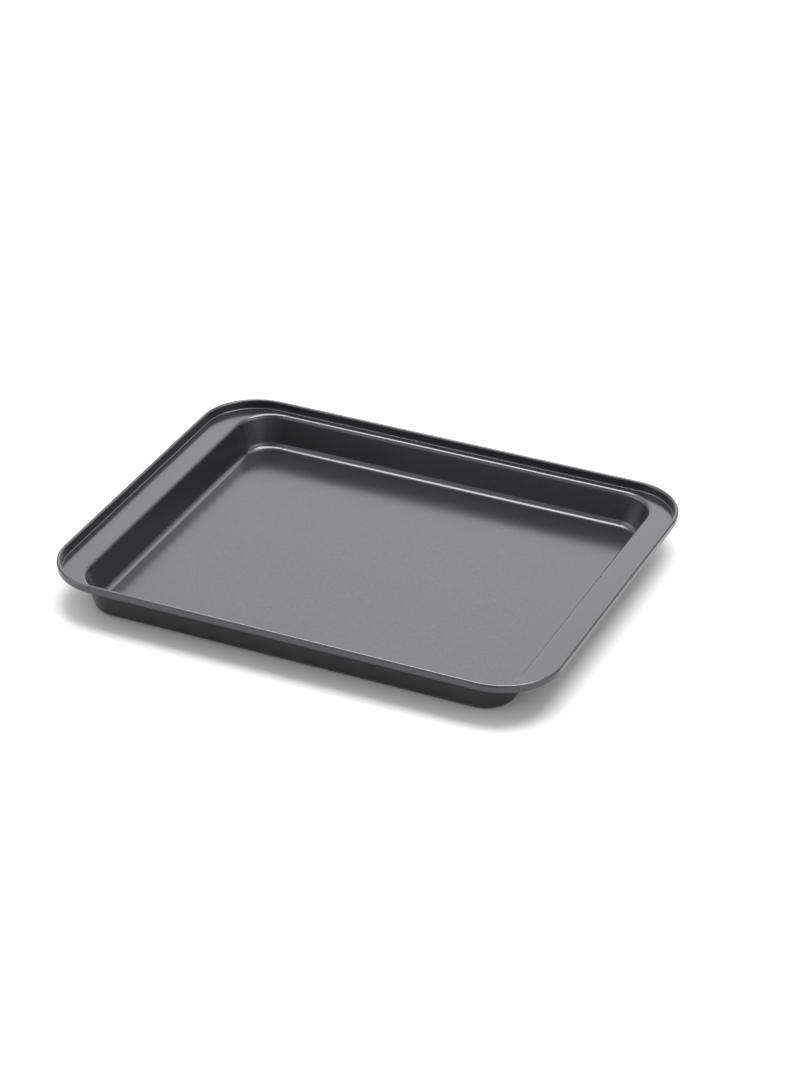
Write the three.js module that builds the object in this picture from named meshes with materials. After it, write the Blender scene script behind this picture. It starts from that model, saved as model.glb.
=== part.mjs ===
// Small non-stick baking tray: one pressed steel sheet whose edge is rolled over a stiffening wire.
// Millimetres, +Z up. The origin lies on the surface the tray stands on, under the tray's centre.
// +X runs along the long side, so the two wide carrying flanges are at the -X and +X ends.

import * as THREE from 'three';

// Overall size
const LENGTH = 241.3; // over the rolled lip, along X (9.5 in)
const WIDTH = 190.5; // over the rolled lip, along Y (7.5 in)
const HEIGHT = 20.3; // from the table to the top of the lip (0.8 in)
const RIM_CORNER = 28; // outer corner radius of the lip in plan
const SHEET = 0.5; // thickness of the steel sheet

// Rolled lip
const LIP_WIDTH = 2; // thickness of the roll, outside to inside
const LIP_DEPTH = 3.8; // from the top of the roll down to the underside of its curl
const LIP_CURL = THREE.MathUtils.degToRad(110); // how far the sheet's edge turns in under the roll
const LIP_FOOT = 0.6; // inside radius where the lip rises from the flange

// Flange and well
const FLANGE_TOP = 15.8; // height of the flange's upper face
const END_FLANGE = 14.1; // from the tray's outer edge to the start of the well's bend, short ends
const SIDE_FLANGE = 4.4; // the same along the two long sides
const WELL_CORNER = 19; // plan radius of the well's corners at the start of the bend
const BEND_RADIUS = 2.2; // upper face, where the flange turns down into the well
const FLOOR_RADIUS = 3.2; // upper face, where the wall runs out into the floor
const WALL_LEAN = THREE.MathUtils.degToRad(15.5); // lean of the well's wall from the vertical

// Stiffening wire inside the roll
const WIRE_DIAMETER = 0.8;
const WIRE_END_GAP = 1; // between the wire's two ends, halfway along the back

// Facets
const CORNER_STEPS = 10; // per quarter turn in plan
const ROLL_STEPS = 8; // over the half circle on top of the roll
const CURL_STEPS = 5;
const FOOT_STEPS = 4;
const BEND_STEPS = 4;
const FLOOR_STEPS = 6;
const WIRE_SIDES = 10;

const HALF_TURN = Math.PI;
const QUARTER_TURN = Math.PI / 2;

const rollRadius = LIP_WIDTH / 2;
const rollHeight = HEIGHT - rollRadius; // centre of the half circle on top of the roll
const curlHeight = HEIGHT - LIP_DEPTH + rollRadius; // centre of the curl under the roll

// The well's section runs inward from the start of its bend: bend, straight wall, floor radius.
const turn = QUARTER_TURN - WALL_LEAN;
const wallHeight = FLANGE_TOP - SHEET - (BEND_RADIUS + FLOOR_RADIUS) * (1 - Math.cos(turn));
const wellRun = (BEND_RADIUS + FLOOR_RADIUS) * Math.sin(turn) + wallHeight * Math.tan(WALL_LEAN);

// A rounded rectangle in plan, anticlockwise, from the middle of the back round to it again.
function roundedOutline(halfX, halfY, radius) {
  const points = [];
  for (let corner = 1; corner <= 4; corner += 1) {
    const from = corner * QUARTER_TURN;
    const middle = from + QUARTER_TURN / 2;
    const centreX = Math.sign(Math.cos(middle)) * (halfX - radius);
    const centreY = Math.sign(Math.sin(middle)) * (halfY - radius);
    for (let step = 0; step <= CORNER_STEPS; step += 1) {
      const angle = from + (step / CORNER_STEPS) * QUARTER_TURN;
      points.push([centreX + radius * Math.cos(angle), centreY + radius * Math.sin(angle)]);
    }
  }
  return points;
}

// Outline that follows the tray's outer edge, inset millimetres inside it.
function rimOutline(inset) {
  return roundedOutline(LENGTH / 2 - inset, WIDTH / 2 - inset, RIM_CORNER - inset);
}

// Outline that follows the edge of the well, inset millimetres inside the start of its bend.
function wellOutline(inset) {
  const halfX = LENGTH / 2 - END_FLANGE - inset;
  const halfY = WIDTH / 2 - SIDE_FLANGE - inset;
  return roundedOutline(halfX, halfY, WELL_CORNER - inset);
}

function atHeight(outline, z) {
  return outline.map(([x, y]) => new THREE.Vector3(x, y, z));
}

// Loops round the tray for an arc of its section. Angles start at +inset and turn towards +Z.
function arcLoops(outlineAt, inset, height, radius, from, to, steps) {
  const loops = [];
  for (let step = 0; step <= steps; step += 1) {
    const angle = from + (step / steps) * (to - from);
    const outline = outlineAt(inset + radius * Math.cos(angle));
    loops.push(atHeight(outline, height + radius * Math.sin(angle)));
  }
  return loops;
}

// One face of the sheet, from its rolled-in edge to the floor. Depth 0 is the upper, outer face
// and depth SHEET the face behind it: arcs that bulge outward shrink by it, hollow ones grow.
function sheetFace(depth) {
  const foot = LIP_WIDTH + LIP_FOOT;
  const curlStart = -HALF_TURN + LIP_CURL;
  const top = QUARTER_TURN;
  const bottom = -QUARTER_TURN;
  return [
    ...arcLoops(rimOutline, rollRadius, curlHeight, rollRadius - depth, curlStart, -HALF_TURN, CURL_STEPS),
    ...arcLoops(rimOutline, rollRadius, rollHeight, rollRadius - depth, HALF_TURN, 0, ROLL_STEPS),
    ...arcLoops(rimOutline, foot, FLANGE_TOP + LIP_FOOT, LIP_FOOT + depth, -HALF_TURN, bottom, FOOT_STEPS),
    ...arcLoops(wellOutline, 0, FLANGE_TOP - BEND_RADIUS, BEND_RADIUS - depth, top, top - turn, BEND_STEPS),
    ...arcLoops(wellOutline, wellRun, SHEET + FLOOR_RADIUS, FLOOR_RADIUS + depth, bottom - turn, bottom,
      FLOOR_STEPS),
  ];
}

// Triangles between loops of equally many points. A closed loop joins its last point to its first.
function skin(loops, closed) {
  const count = loops[0].length;
  const triangles = [];
  for (let loop = 0; loop < loops.length - 1; loop += 1) {
    const near = loop * count;
    const far = near + count;
    for (let i = 0; i < (closed ? count : count - 1); i += 1) {
      const next = (i + 1) % count;
      triangles.push([near + i, near + next, far + next], [near + i, far + next, far + i]);
    }
  }
  return triangles;
}

// Triangles from a centre point to each edge of a ring of point numbers.
function fan(centre, ring) {
  return ring.map((point, i) => [centre, point, ring[(i + 1) % ring.length]]);
}

function centreOf(points) {
  const sum = new THREE.Vector3();
  points.forEach((point) => sum.add(point));
  return sum.divideScalar(points.length);
}

function solidGeometry(points, triangles) {
  const geometry = new THREE.BufferGeometry();
  geometry.setFromPoints(points);
  geometry.setIndex(triangles.flat());
  geometry.computeVertexNormals();
  return geometry;
}

// The pressed sheet: floor, walls, flanges and rolled lip in one piece. The skin runs from the
// middle of the underside out to the rolled-in edge, and back over the upper face to the floor.
function traySheet() {
  const loops = [...sheetFace(SHEET).reverse(), ...sheetFace(0)];
  const count = loops[0].length;
  const points = loops.flat();
  const underside = points.length;
  const floor = underside + 1;
  const firstRing = loops[0].map((_, i) => count - 1 - i);
  const lastRing = loops[0].map((_, i) => underside - count + i);
  const triangles = [...skin(loops, true), ...fan(underside, firstRing), ...fan(floor, lastRing)];
  points.push(centreOf(loops[0]), centreOf(loops[loops.length - 1]));
  const coating = new THREE.MeshStandardMaterial({ color: 0x4b4b4f, roughness: 0.42, metalness: 0.55 });
  return new THREE.Mesh(solidGeometry(points, triangles), coating);
}

// The wire: a round bar that follows the roll, with its two ends facing each other at the back.
function rimWire() {
  const radius = WIRE_DIAMETER / 2;
  const loops = [];
  for (let side = 0; side <= WIRE_SIDES; side += 1) {
    const angle = -((side % WIRE_SIDES) / WIRE_SIDES) * 2 * HALF_TURN;
    const inset = rollRadius + radius * Math.cos(angle);
    const back = WIDTH / 2 - inset;
    const outline = [[-WIRE_END_GAP / 2, back], ...rimOutline(inset), [WIRE_END_GAP / 2, back]];
    loops.push(atHeight(outline, rollHeight + radius * Math.sin(angle)));
  }
  const points = loops.flat();
  const count = loops[0].length;
  const firstEnd = [];
  const lastEnd = [];
  for (let side = 0; side < WIRE_SIDES; side += 1) {
    firstEnd.push(side * count);
    lastEnd.unshift(side * count + count - 1);
  }
  const centre = points.length;
  const triangles = [...skin(loops, false), ...fan(centre, firstEnd), ...fan(centre + 1, lastEnd)];
  const wireBack = WIDTH / 2 - rollRadius;
  points.push(new THREE.Vector3(-WIRE_END_GAP / 2, wireBack, rollHeight));
  points.push(new THREE.Vector3(WIRE_END_GAP / 2, wireBack, rollHeight));
  const steel = new THREE.MeshStandardMaterial({ color: 0x9c9c9a, roughness: 0.38, metalness: 1 });
  return new THREE.Mesh(solidGeometry(points, triangles), steel);
}

const tray = traySheet();
tray.name = 'tray';

const wire = rimWire();
wire.name = 'rim_wire';

const bakingTray = new THREE.Group();
bakingTray.add(tray, wire);

export default bakingTray;
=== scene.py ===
import bpy
import bmesh
import math
from mathutils import Matrix, Vector


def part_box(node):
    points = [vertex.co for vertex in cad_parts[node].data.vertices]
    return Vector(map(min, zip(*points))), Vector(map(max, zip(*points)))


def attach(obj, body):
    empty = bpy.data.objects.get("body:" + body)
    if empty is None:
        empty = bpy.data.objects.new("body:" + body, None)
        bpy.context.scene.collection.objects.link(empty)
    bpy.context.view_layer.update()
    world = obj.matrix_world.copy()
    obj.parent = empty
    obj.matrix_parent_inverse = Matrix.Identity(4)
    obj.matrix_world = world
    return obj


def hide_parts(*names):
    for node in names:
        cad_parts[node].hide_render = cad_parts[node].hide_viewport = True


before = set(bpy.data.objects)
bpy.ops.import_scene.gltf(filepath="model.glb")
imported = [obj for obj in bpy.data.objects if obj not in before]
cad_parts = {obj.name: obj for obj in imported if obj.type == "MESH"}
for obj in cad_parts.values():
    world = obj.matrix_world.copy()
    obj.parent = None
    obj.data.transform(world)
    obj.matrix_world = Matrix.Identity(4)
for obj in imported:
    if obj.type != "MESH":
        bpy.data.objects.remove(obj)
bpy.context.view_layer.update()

mm = 0.001
quarterTurn = math.pi / 2
mixColourInputs = (6, 7)  # the mix node has sockets of the same name for numbers, vectors and colours
mixColourResult = 2

trayLow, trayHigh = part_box("tray")
wireLow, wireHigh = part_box("rim_wire")


def roundedOutline(halfX, halfY, radius, cornerSteps, sideSteps):
    # anticlockwise, from the right-hand end of the back edge
    corners = []
    for corner in range(1, 5):
        start = corner * quarterTurn
        middle = start + quarterTurn / 2
        centreX = math.copysign(halfX - radius, math.cos(middle))
        centreY = math.copysign(halfY - radius, math.sin(middle))
        arc = []
        for step in range(cornerSteps + 1):
            angle = start + quarterTurn * step / cornerSteps
            arc.append((centreX + radius * math.cos(angle), centreY + radius * math.sin(angle)))
        corners.append(arc)
    points = []
    for number, arc in enumerate(corners):
        endX, endY = corners[number - 1][-1]
        startX, startY = arc[0]
        for step in range(1, sideSteps):
            along = step / sideSteps
            points.append((endX + (startX - endX) * along, endY + (startY - endY) * along))
        points.extend(arc)
    return points


def newPiece(name, mesh, material):
    piece = bpy.data.objects.new(name, mesh)
    bpy.context.scene.collection.objects.link(piece)
    piece.data.materials.append(material)
    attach(piece, "root")
    return piece


def newMaterial(name):
    material = bpy.data.materials.new(name)
    material.use_nodes = True
    nodes = material.node_tree.nodes
    links = material.node_tree.links
    shader = nodes["Principled BSDF"]
    return material, nodes, links, shader


def noiseTexture(nodes, links, coords, grains):
    # grains: how many to the metre, how many finer layers, and how strong each finer layer is
    noise = nodes.new("ShaderNodeTexNoise")
    for socket, value in zip(("Scale", "Detail", "Roughness"), grains):
        noise.inputs[socket].default_value = value
    links.new(coords, noise.inputs["Vector"])
    return noise.outputs["Fac"]


def remap(nodes, links, value, source, target):
    # stretches the source range over the target range and stops at its ends
    node = nodes.new("ShaderNodeMapRange")
    node.inputs["From Min"].default_value, node.inputs["From Max"].default_value = source
    node.inputs["To Min"].default_value, node.inputs["To Max"].default_value = target
    links.new(value, node.inputs["Value"])
    return node.outputs["Result"]


def combine(nodes, links, operation, first, second):
    # one step of arithmetic on two numbers, each a fixed value or another node's result
    node = nodes.new("ShaderNodeMath")
    node.operation = operation
    for socket, value in zip(node.inputs, (first, second)):
        if isinstance(value, (int, float)):
            socket.default_value = value
        else:
            links.new(value, socket)
    return node.outputs["Value"]


def blendColour(nodes, links, amount, first, second):
    node = nodes.new("ShaderNodeMix")
    node.data_type = "RGBA"
    links.new(amount, node.inputs["Factor"])
    for number, value in zip(mixColourInputs, (first, second)):
        if isinstance(value, tuple):
            node.inputs[number].default_value = (*value, 1)
        else:
            links.new(value, node.inputs[number])
    return node.outputs[mixColourResult]


def bump(nodes, links, height, relief, under=None):
    # relief: depth in metres and strength from 0 to 1
    node = nodes.new("ShaderNodeBump")
    node.inputs["Distance"].default_value, node.inputs["Strength"].default_value = relief
    links.new(height, node.inputs["Height"])
    if under is not None:
        links.new(under, node.inputs["Normal"])
    return node.outputs["Normal"]


# the pressed steel sheet: floor, walls, flanges and rolled lip
traySheet = {
    "sheet": 0.5 * mm,  # thickness of the steel
    "rimCorner": 28 * mm,  # outer corners, seen from above
    "lipWidth": 2.0 * mm,  # thickness of the roll
    "lipDepth": 3.8 * mm,  # from the top of the roll to the bottom of its curl
    "lipCurl": math.radians(110),  # how far the edge turns in under the roll
    "lipFoot": 0.6 * mm,  # radius where the lip rises from the flange
    "flangeTop": 15.8 * mm,
    "endFlange": 14.1 * mm,  # outer edge to the start of the bend, short ends
    "sideFlange": 4.4 * mm,  # the same along the long sides
    "wellCorner": 19 * mm,
    "bendRadius": 2.2 * mm,  # flange into wall
    "floorRadius": 3.2 * mm,  # wall into floor
    "wallLean": math.radians(15.5),  # from upright
    "cornerSteps": 28,
    "sideSteps": 24,
    "rollSteps": 18,
    "curlSteps": 12,
    "footSteps": 8,
    "bendSteps": 10,
    "floorSteps": 14,
    "floorRings": 5,  # loops across the flat floor, out to in
    "flatFaceWeight": 100,  # how strongly the flats rule the shading at their edges
}

nonstickCoating = {
    "colour": (0.0535, 0.0530, 0.0570),
    "fleckColour": (0.0850, 0.0846, 0.0885),  # the finest pale specks in the film
    "metallic": 0.79,
    "roughness": (0.15, 0.20),  # drifts slowly over the sheet
    "cloudRange": (0.3, 0.7),
    "fleckRange": (0.42, 0.70),
    "fleckGrains": (2600, 3, 0.7),
    "cloudGrains": (22, 4, 0.5),
    "peelGrains": (300, 2, 0.5),  # the faint orange peel of a sprayed film
    "sandGrains": (1300, 2, 0.5),  # fine grit
    "peelRelief": (0.045 * mm, 0.2),
    "sandRelief": (0.022 * mm, 0.25),
}


def makeNonstickCoating(spec):
    material, nodes, links, shader = newMaterial("nonstickCoating")
    coords = nodes.new("ShaderNodeTexCoord").outputs["Object"]
    fleck = noiseTexture(nodes, links, coords, spec["fleckGrains"])
    fleckAmount = remap(nodes, links, fleck, spec["fleckRange"], (0, 1))
    cloud = noiseTexture(nodes, links, coords, spec["cloudGrains"])
    colour = blendColour(nodes, links, fleckAmount, spec["colour"], spec["fleckColour"])
    links.new(colour, shader.inputs["Base Color"])
    shader.inputs["Metallic"].default_value = spec["metallic"]
    rough = remap(nodes, links, cloud, spec["cloudRange"], spec["roughness"])
    links.new(rough, shader.inputs["Roughness"])
    peel = noiseTexture(nodes, links, coords, spec["peelGrains"])
    sand = noiseTexture(nodes, links, coords, spec["sandGrains"])
    wavy = bump(nodes, links, peel, spec["peelRelief"])
    normal = bump(nodes, links, sand, spec["sandRelief"], wavy)
    links.new(normal, shader.inputs["Normal"])
    return material


def sectionArcs(spec, depth):
    # one face of the sheet from its rolled-in edge to the floor, as (outline, inset, height) rows;
    # depth is how far that face lies behind the outer, upper one
    roll = spec["lipWidth"] / 2
    top = trayHigh[2]
    turn = quarterTurn - spec["wallLean"]
    bendAndFloor = spec["bendRadius"] + spec["floorRadius"]
    wallHeight = spec["flangeTop"] - spec["sheet"] - bendAndFloor * (1 - math.cos(turn))
    wellRun = bendAndFloor * math.sin(turn) + wallHeight * math.tan(spec["wallLean"])
    foot = spec["lipWidth"] + spec["lipFoot"]
    arcs = [
        ("rim", roll, top - spec["lipDepth"] + roll, roll - depth,
         spec["lipCurl"] - math.pi, -math.pi, spec["curlSteps"]),
        ("rim", roll, top - roll, roll - depth, math.pi, 0, spec["rollSteps"]),
        ("rim", foot, spec["flangeTop"] + spec["lipFoot"], spec["lipFoot"] + depth,
         -math.pi, -quarterTurn, spec["footSteps"]),
        ("well", 0, spec["flangeTop"] - spec["bendRadius"], spec["bendRadius"] - depth,
         quarterTurn, quarterTurn - turn, spec["bendSteps"]),
        ("well", wellRun, spec["sheet"] + spec["floorRadius"], spec["floorRadius"] + depth,
         -quarterTurn - turn, -quarterTurn, spec["floorSteps"]),
    ]
    rows = []
    for outline, inset, height, radius, start, end, steps in arcs:
        for step in range(steps + 1):
            angle = start + (end - start) * step / steps
            rows.append((outline, inset + radius * math.cos(angle), height + radius * math.sin(angle)))
    return rows


def trayLoop(spec, row):
    # one loop round the tray, parallel to the rim or to the edge of the well
    outline, inset, height = row
    halfX = (trayHigh[0] - trayLow[0]) / 2 - inset
    halfY = (trayHigh[1] - trayLow[1]) / 2 - inset
    radius = spec["rimCorner"] - inset
    if outline == "well":
        halfX -= spec["endFlange"]
        halfY -= spec["sideFlange"]
        radius = spec["wellCorner"] - inset
    plan = roundedOutline(halfX, halfY, radius, spec["cornerSteps"], spec["sideSteps"])
    return [Vector((x, y, height)) for x, y in plan]


def floorLoops(spec, edge):
    # rings across the flat floor, shrinking towards its middle
    rings = []
    for ring in range(1, spec["floorRings"]):
        keep = 1 - ring / spec["floorRings"]
        rings.append([Vector((p.x * keep, p.y * keep, p.z)) for p in edge])
    return rings


def makeTraySheet(spec, material):
    # one closed skin, from the middle of the underside round the lip to the middle of the floor
    upper = [trayLoop(spec, row) for row in sectionArcs(spec, 0)]
    under = [trayLoop(spec, row) for row in sectionArcs(spec, spec["sheet"])]
    upper += floorLoops(spec, upper[-1])
    under += floorLoops(spec, under[-1])
    loops = under[::-1] + upper

    bm = bmesh.new()
    rings = [[bm.verts.new(point) for point in loop] for loop in loops]
    count = len(rings[0])
    for near, far in zip(rings, rings[1:]):
        for i in range(count):
            j = (i + 1) % count
            bm.faces.new((near[i], near[j], far[j], far[i]))
    for ring, height in ((rings[0][::-1], under[-1][0].z), (rings[-1], upper[-1][0].z)):
        middle = bm.verts.new((0, 0, height))
        for i in range(count):
            bm.faces.new((middle, ring[i], ring[(i + 1) % count]))
    for face in bm.faces:
        face.smooth = True
    mesh = bpy.data.meshes.new("traySheet")
    bm.to_mesh(mesh)
    bm.free()

    piece = newPiece("traySheet", mesh, material)
    flatFaces = piece.modifiers.new("keepFlatsFlat", "WEIGHTED_NORMAL")
    flatFaces.weight = spec["flatFaceWeight"]
    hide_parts("tray")
    return piece


coating = makeNonstickCoating(nonstickCoating)
traySheetPiece = makeTraySheet(traySheet, coating)
print("tray sheet made:", len(traySheetPiece.data.polygons), "faces")


# the stiffening wire inside the roll
rimWire = {
    "endGap": 1 * mm,  # halfway along the back
    "sides": 16,
    "cornerSteps": 28,
    "sideSteps": 24,
}

drawnSteel = {
    "colour": (0.50, 0.49, 0.48),
    "darkColour": (0.30, 0.295, 0.29),
    "roughness": (0.5, 0.28),  # dark streaks are the rougher ones
    "roughRange": (0.3, 0.7),
    "brightRange": (0.35, 0.7),
    "streakGrains": (900, 4, 0.6),
    "scratchRelief": (0.006 * mm, 0.4),
}


def makeDrawnSteel(spec):
    material, nodes, links, shader = newMaterial("drawnSteel")
    coords = nodes.new("ShaderNodeTexCoord").outputs["Object"]
    streaks = noiseTexture(nodes, links, coords, spec["streakGrains"])
    amount = remap(nodes, links, streaks, spec["brightRange"], (0, 1))
    colour = blendColour(nodes, links, amount, spec["darkColour"], spec["colour"])
    links.new(colour, shader.inputs["Base Color"])
    shader.inputs["Metallic"].default_value = 1.0
    rough = remap(nodes, links, streaks, spec["roughRange"], spec["roughness"])
    links.new(rough, shader.inputs["Roughness"])
    links.new(bump(nodes, links, streaks, spec["scratchRelief"]), shader.inputs["Normal"])
    return material


def makeRimWire(spec, material):
    # a round bar that follows the middle of the roll, open at the gap and capped at both ends
    wireRadius = (wireHigh[2] - wireLow[2]) / 2
    height = (wireHigh[2] + wireLow[2]) / 2
    rimInset = traySheet["lipWidth"] / 2
    halfX = (trayHigh[0] - trayLow[0]) / 2 - rimInset
    halfY = (trayHigh[1] - trayLow[1]) / 2 - rimInset
    corner = traySheet["rimCorner"] - rimInset

    bm = bmesh.new()
    rings = []
    for side in range(spec["sides"]):
        angle = -2 * math.pi * side / spec["sides"]
        inset = wireRadius * math.cos(angle)
        z = height + wireRadius * math.sin(angle)
        plan = roundedOutline(halfX - inset, halfY - inset, corner - inset,
                              spec["cornerSteps"], spec["sideSteps"])
        backEdge = plan[:spec["sideSteps"] - 1]
        leftHalf = [p for p in backEdge if p[0] < -spec["endGap"]]
        rightHalf = [p for p in backEdge if p[0] > spec["endGap"]]
        ends = [(-spec["endGap"] / 2, halfY - inset), (spec["endGap"] / 2, halfY - inset)]
        plan = [ends[0]] + leftHalf + plan[spec["sideSteps"] - 1:] + rightHalf + [ends[1]]
        rings.append([bm.verts.new((x, y, z)) for x, y in plan])
    count = len(rings[0])
    for side in range(spec["sides"]):
        near, far = rings[side], rings[(side + 1) % spec["sides"]]
        for i in range(count - 1):
            bm.faces.new((near[i], near[i + 1], far[i + 1], far[i]))
    bm.faces.new([ring[0] for ring in rings])
    bm.faces.new([ring[-1] for ring in rings[::-1]])
    for face in bm.faces:
        face.smooth = len(face.verts) == 4
    mesh = bpy.data.meshes.new("rimWire")
    bm.to_mesh(mesh)
    bm.free()
    piece = newPiece("rimWire", mesh, material)
    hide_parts("rim_wire")
    return piece


rimWirePiece = makeRimWire(rimWire, makeDrawnSteel(drawnSteel))
print("rim wire made:", len(rimWirePiece.data.polygons), "faces")


# a plain table that fills the view
paleTable = {
    "size": 14.0,
    "colour": (0.60, 0.60, 0.60),
    "shade": 0.985,  # the darker clouds, as a part of the colour
    "cloudGrains": (3, 3, 0.5),
    "roughness": 0.55,
    "shine": 0.2,
}


def makePaleTable(spec):
    material, nodes, links, shader = newMaterial("paleTable")
    coords = nodes.new("ShaderNodeTexCoord").outputs["Object"]
    cloud = noiseTexture(nodes, links, coords, spec["cloudGrains"])
    darker = tuple(part * spec["shade"] for part in spec["colour"])
    colour = blendColour(nodes, links, cloud, darker, spec["colour"])
    links.new(colour, shader.inputs["Base Color"])
    shader.inputs["Roughness"].default_value = spec["roughness"]
    shader.inputs["Specular IOR Level"].default_value = spec["shine"]
    bm = bmesh.new()
    half = spec["size"] / 2
    corners = [bm.verts.new((x, y, trayLow[2])) for x, y in
               ((-half, -half), (half, -half), (half, half), (-half, half))]
    bm.faces.new(corners)
    mesh = bpy.data.meshes.new("table")
    bm.to_mesh(mesh)
    bm.free()
    table = bpy.data.objects.new("table", mesh)
    table.data.materials.append(material)
    bpy.context.scene.collection.objects.link(table)


makePaleTable(paleTable)
print("table laid")


# one softbox overhead and a ring of broad glows far off
studio = {
    "softbox": {"width": 1.75, "depth": 0.9, "at": (0.0, 0.34, 1.75), "brightness": 10.2},
    "roomGlow": 0.12,
    # each lamp further off: azimuth from +X, elevation, half width (degrees), brightness
    "lamps": {
        "back": (90, 45, 23, 2.8),
        "highLeft": (178, 55, 20, 1.2),
        "rightFill": (-10, 24, 22, 2.7),
        "leftFill": (-145, 16, 22, 2.8),
        "frontFill": (-65, 14, 16, 0.35),
        "backdrop": (125, 6, 24, 1.6),
    },
}


def addSoftbox(spec):
    light = bpy.data.lights.new("softbox", "AREA")
    light.shape = "RECTANGLE"
    light.size = spec["width"]
    light.size_y = spec["depth"]
    light.energy = spec["brightness"] * math.pi * spec["width"] * spec["depth"]
    softbox = bpy.data.objects.new("softbox", light)
    softbox.location = spec["at"]
    aim = Vector((0, 0, 0)) - softbox.location
    softbox.rotation_euler = aim.to_track_quat("-Z", "Y").to_euler()
    bpy.context.scene.collection.objects.link(softbox)


def makeStudioLight(spec):
    # each lamp is a round glow in the sky that fades with the angle from its middle
    world = bpy.data.worlds.new("studioLight")
    bpy.context.scene.world = world
    world.use_nodes = True
    nodes = world.node_tree.nodes
    links = world.node_tree.links
    direction = nodes.new("ShaderNodeTexCoord").outputs["Generated"]
    total = spec["roomGlow"]
    for azimuth, elevation, spread, brightness in spec["lamps"].values():
        az, el = math.radians(azimuth), math.radians(elevation)
        towards = nodes.new("ShaderNodeVectorMath")
        towards.operation = "DOT_PRODUCT"
        towards.inputs[1].default_value = (math.cos(el) * math.cos(az), math.cos(el) * math.sin(az),
                                           math.sin(el))
        links.new(direction, towards.inputs[0])
        away = combine(nodes, links, "SUBTRACT", towards.outputs["Value"], 1)
        faded = combine(nodes, links, "MULTIPLY", away, 1 / math.radians(spread) ** 2)
        glow = combine(nodes, links, "EXPONENT", faded, 0)
        total = combine(nodes, links, "ADD", combine(nodes, links, "MULTIPLY", glow, brightness), total)
    nodes["Background"].inputs["Color"].default_value = (1, 1, 1, 1)
    links.new(total, nodes["Background"].inputs["Strength"])


addSoftbox(studio["softbox"])
makeStudioLight(studio)
bpy.context.scene.view_settings.view_transform = "Standard"
print("studio lit")


# the view from above the front right
cameraView = {
    "azimuth": math.radians(24.535),  # from the front towards the right
    "elevation": math.radians(30.604),
    "roll": math.radians(0.165),
    "distance": 1.54663,
    "shiftRight": 0.012884,
    "shiftUp": 0.002868,
    "lens": 112.84,
    "sensor": 36.0,
    "farthest": 50,
}


def addCamera(spec):
    az, el, roll = spec["azimuth"], spec["elevation"], spec["roll"]
    back = Vector((math.sin(az) * math.cos(el), -math.cos(az) * math.cos(el), math.sin(el)))
    level = Vector((math.cos(az), math.sin(az), 0))
    upright = back.cross(level)
    right = level * math.cos(roll) + upright * math.sin(roll)
    up = upright * math.cos(roll) - level * math.sin(roll)
    middle = (Vector(trayLow) + Vector(trayHigh)) / 2
    place = middle + back * spec["distance"] + right * spec["shiftRight"] + up * spec["shiftUp"]
    lens = bpy.data.cameras.new("camera")
    lens.lens = spec["lens"]
    lens.sensor_width = spec["sensor"]
    lens.clip_end = spec["farthest"]
    camera = bpy.data.objects.new("camera", lens)
    turn = Matrix((right, up, back)).transposed().to_4x4()
    camera.matrix_world = Matrix.Translation(place) @ turn
    bpy.context.scene.collection.objects.link(camera)
    bpy.context.scene.camera = camera


addCamera(cameraView)
print("camera set")
